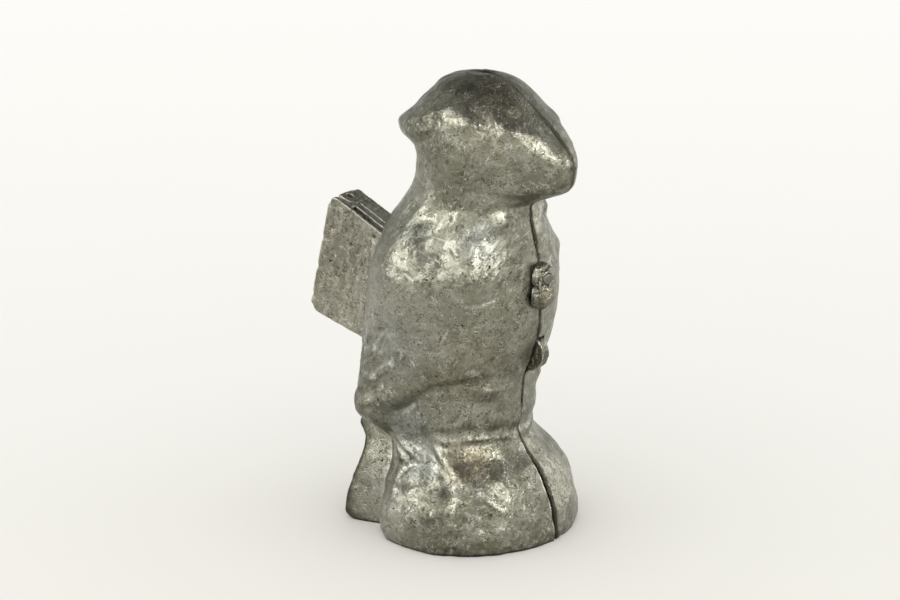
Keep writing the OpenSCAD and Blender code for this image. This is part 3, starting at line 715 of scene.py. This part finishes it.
# A pale grey that paints reflected light.
PAINTED_SHEEN = (0.46, 0.455, 0.405)
STAINS_AND_SHEEN = (
    ((-18.5, -9, 24), 9, BROWN, 0.8),        # bell
    ((-13, -14, 119), 13, BROWN, 0.35),      # brow
    ((-8, -12, 128), 12, BROWN, 0.5),        # cap
    ((-22, 8, 33), 10, BLUISH, 0.8),         # under the cuff
    ((-25, 9, 58), 14, BLUISH, 0.6),         # sleeve
    ((-17, -13, 88), 8, BLUISH, 0.7),        # breast
    ((-22, -13, 52), 16, BROWN, 0.4),        # coat
    ((-22, 3, 22), 8, BLUISH, 0.8),         # top of the bell, beside the bow
    # Painted reflection: the last three patches paint light reflected on the back of the near side.
    ((-22, 17, 66), 24, PAINTED_SHEEN, 0.6),        # back of the arm
    ((-24, 14, 8), 17, PAINTED_SHEEN, 0.6),         # foot beside the tail
    ((-16, 14, 92), 12, PAINTED_SHEEN, 0.5))        # back of the shoulder
cast = cast_metal("cast_pewter", (0.5, 0.5, 0.446), (0.28, 0.277, 0.218), (0.155, 0.152, 0.11), 0.29, STAINS_AND_SHEEN)
hinge_metal = cast_metal("hinge_pewter", (0.5, 0.49, 0.42), (0.34, 0.33, 0.27), (0.21, 0.2, 0.155), 0.4,
                         streaks=HINGE_LEAN)
dark_metal = cast_metal("dark_pewter", (0.4, 0.39, 0.32), (0.2, 0.193, 0.15), (0.11, 0.105, 0.08), 0.32)
iron = sheet_metal("dark_iron", (0.2, 0.19, 0.16), (0.07, 0.06, 0.045), 0.42)
rust = rusty_metal("rusty_iron")
brass = sheet_metal("sheet_brass", (0.62, 0.45, 0.2), (0.2, 0.13, 0.06), 0.3)
steel = sheet_metal("plain_steel", (0.55, 0.55, 0.56), (0.2, 0.19, 0.18), 0.28, (60, 1400, 1400))
spring = sheet_metal("spring_steel", (0.42, 0.42, 0.44), (0.12, 0.11, 0.1), 0.3)

NODE_LOOKS = {
    "far_half": cast, "near_half": cast, "far_hinge_leaf": hinge_metal, "near_hinge_leaf": hinge_metal,
    "hinge_pin": iron, "locating_dowels": iron, "turn_catch": dark_metal, "catch_pin": iron,
    "catch_stud": rust, "mechanism_frame": brass, "frame_screws": steel, "coin_chute": brass,
    "chute_rivets": brass, "trigger_lever": dark_metal, "trigger_pin": steel, "coin_gate": brass,
    "gate_pin": steel, "drive_pin": steel, "return_spring": spring, "spring_post": steel,
    "foot_plate": dark_metal, "foot_screws": steel}
for node, obj in frame["nodes"].items():
    obj.data.materials.clear()
    obj.data.materials.append(NODE_LOOKS[node])


def stand_in(piece, node, body):
    """Puts a piece in the place of a CAD node, with the node's look, on the node's body."""
    box_uv(piece.data)
    mark_wear_and_painted_light(piece.data, 3)
    piece.data.materials.clear()
    piece.data.materials.append(NODE_LOOKS[node])
    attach(piece, body)
    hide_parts(node)


stand_in(half_shell(FAR, "far_half_skin"), "far_half", "far_body")
stand_in(half_shell(NEAR, "near_half_skin"), "near_half", "near_body")
for node, body, slot, voxel, rounds, rough, nicks in (
        ("far_hinge_leaf", "far_body", "hinge_pewter", 0.2, 3, 0.05, hinge_nicks(FAR)),
        ("near_hinge_leaf", "near_body", "hinge_pewter", 0.2, 3, 0.05, hinge_nicks(NEAR)),
        ("turn_catch", "catch_body", "dark_pewter", 0.13, 6, 0.09, ()),
        ("trigger_lever", "trigger_body", "dark_pewter", 0.15, 4, 0.05, ())):
    stand_in(softened(node, node + "_worn", voxel, rounds, rough, nicks), node, body)


# ------------------------------------------------------------------ stage
FLOOR_HALF = 3000            # half the width of the floor
FLOOR_LIGHT_RUN = (0.824, 0.566, 0)        # painted light: the floor's colour grows paler this way, over a metre
FLOOR_LIGHT_START = 0.3            # how many metres before the figure that begins


def stage():
    """The floor: pale, with faint clouds, and painted light that makes it paler towards its far end."""
    h = FLOOR_HALF
    corners = [(-h, -h, 0), (h, -h, 0), (h, h, 0), (-h, h, 0)]
    floor = mesh_object("floor", corners, [(0, 1, 2, 3)], smooth=False)
    look = Look("pale_floor")
    # Painted light: the colour grows paler along the floor, away from its near end.
    depth = look.node("ShaderNodeVectorMath", operation="DOT_PRODUCT")
    look.link(look.place, depth.inputs[0])
    depth.inputs[1].default_value = FLOOR_LIGHT_RUN
    run = look.sums(depth.outputs["Value"], FLOOR_LIGHT_START)
    back = look.ramp(run, (0.0, (0.81, 0.79, 0.735)), (1.0, (0.92, 0.912, 0.89)))
    clouds = look.ramp(look.noise(4, 2), (0.3, 0.0), (0.7, 0.25))
    look.link(look.mix(clouds, back, (0.9, 0.89, 0.85)), look.shader.inputs["Base Color"])
    look.shader.inputs["Roughness"].default_value = 0.9
    look.shader.inputs["Specular IOR Level"].default_value = 0.1
    floor.data.materials.append(look.material)


def sun(name, azimuth, elevation, strength, wide, sheen=True):
    """A far light, wide degrees across, that shows only in reflections, or else only on dull surfaces."""
    data = bpy.data.lights.new(name, "SUN")
    data.energy = strength
    data.angle = math.radians(wide)
    obj = bpy.data.objects.new(name, data)
    bpy.context.scene.collection.objects.link(obj)
    obj.rotation_euler = around(azimuth, elevation, 1.0).to_track_quat("Z", "Y").to_euler()
    obj.visible_glossy = sheen
    obj.visible_diffuse = not sheen


def around(azimuth, elevation, distance):
    """A place seen from the origin: azimuth 0 is in front of the figure, negative on the near side."""
    a, e = math.radians(azimuth), math.radians(elevation)
    return Vector((math.sin(a) * math.cos(e), -math.cos(a) * math.cos(e), math.sin(e))) * distance


def camera():
    """A long lens, low on the near side of the figure."""
    a = math.radians(VIEW_AZ)
    back = around(VIEW_AZ, VIEW_EL, 1.0)
    aim = AIM_OFF * Vector((math.cos(a), math.sin(a), 0)) + Vector((0, 0, AIM_Z))
    data = bpy.data.cameras.new("camera")
    data.sensor_width = SENSOR_WIDTH
    data.lens = PX_PER_MM * 1000 * VIEW_DIST / IMAGE_WIDTH * SENSOR_WIDTH
    obj = bpy.data.objects.new("camera", data)
    bpy.context.scene.collection.objects.link(obj)
    obj.location = aim + back * VIEW_DIST
    obj.rotation_euler = back.to_track_quat("Z", "Y").to_euler()
    bpy.context.scene.camera = obj


stage()
camera()
sun("overhead", -100, 82, 2.72, 150, sheen=False)
sun("far_left", -150, 24, 0.9, 12)
sun("left", -114, 32, 1.35, 10)
sun("left_front", -82, 34, 0.9, 9)
sun("front", -39, 25, 0.35, 9)
sun("right", -9, 32, 2.1, 10)
sun("rim", 62, 14, 0.9, 40)


def world():
    """A white studio, brighter towards the horizon than overhead."""
    made = bpy.data.worlds.new("studio")
    made.use_nodes = True
    nodes, links = made.node_tree.nodes, made.node_tree.links
    split = nodes.new("ShaderNodeSeparateXYZ")
    links.new(nodes.new("ShaderNodeTexCoord").outputs["Generated"], split.inputs["Vector"])
    shade = nodes.new("ShaderNodeValToRGB")
    shade.color_ramp.elements[0].position = 0.1
    shade.color_ramp.elements[0].color = (0.7, 0.7, 0.67, 1)
    shade.color_ramp.elements[1].position = 0.75
    shade.color_ramp.elements[1].color = (0.1, 0.1, 0.097, 1)
    links.new(split.outputs["Z"], shade.inputs["Fac"])
    links.new(shade.outputs["Color"], nodes["Background"].inputs["Color"])
    bpy.context.scene.world = made


world()
bpy.context.scene.view_settings.view_transform = "Standard"
